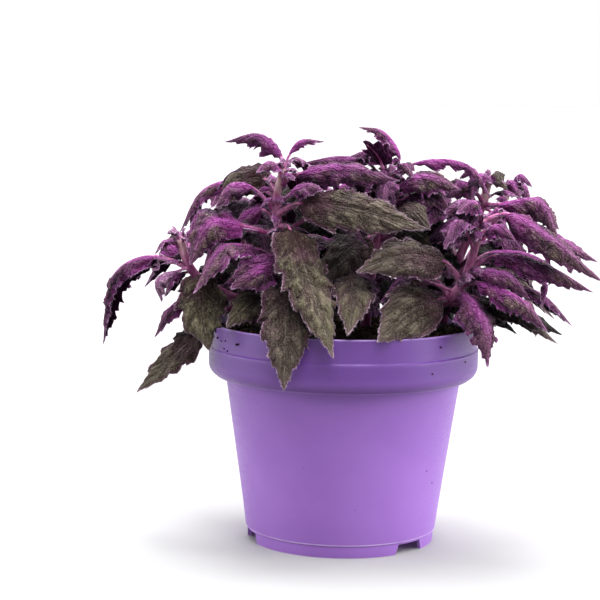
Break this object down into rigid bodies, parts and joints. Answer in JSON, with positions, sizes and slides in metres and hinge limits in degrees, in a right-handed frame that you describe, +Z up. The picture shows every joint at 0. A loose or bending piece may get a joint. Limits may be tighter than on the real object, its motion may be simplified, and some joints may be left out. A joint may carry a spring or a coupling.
{
  "type": "potted purple passion plant",
  "caption": "Purple passion plant: leafy stems with toothed, drooping velvet leaves, standing in soil in a plastic nursery pot with a stepped collar.",
  "frame": {"origin": "the pot's axis at the surface the pot stands on", "axes": "+Z up, -Y the front, +X to the right as seen from the front"},
  "size_m": [0.2193, 0.1395, 0.1843],
  "materials": {
    "pot_plastic": "satin purple polypropylene",
    "soil": "dark potting soil",
    "foliage": "velvety leaves, grey-green with purple hairs"
  },
  "bodies": {
    "root": {"pot": "pot_plastic", "soil": "soil", "shoot_left": "foliage", "shoot_centre_left": "foliage", "shoot_centre": "foliage", "shoot_right": "foliage", "shoot_right_top": "foliage", "shoot_far_right": "foliage", "shoot_back_left": "foliage", "shoot_back": "foliage", "shoot_back_right": "foliage"}
  },
  "joints": []
}
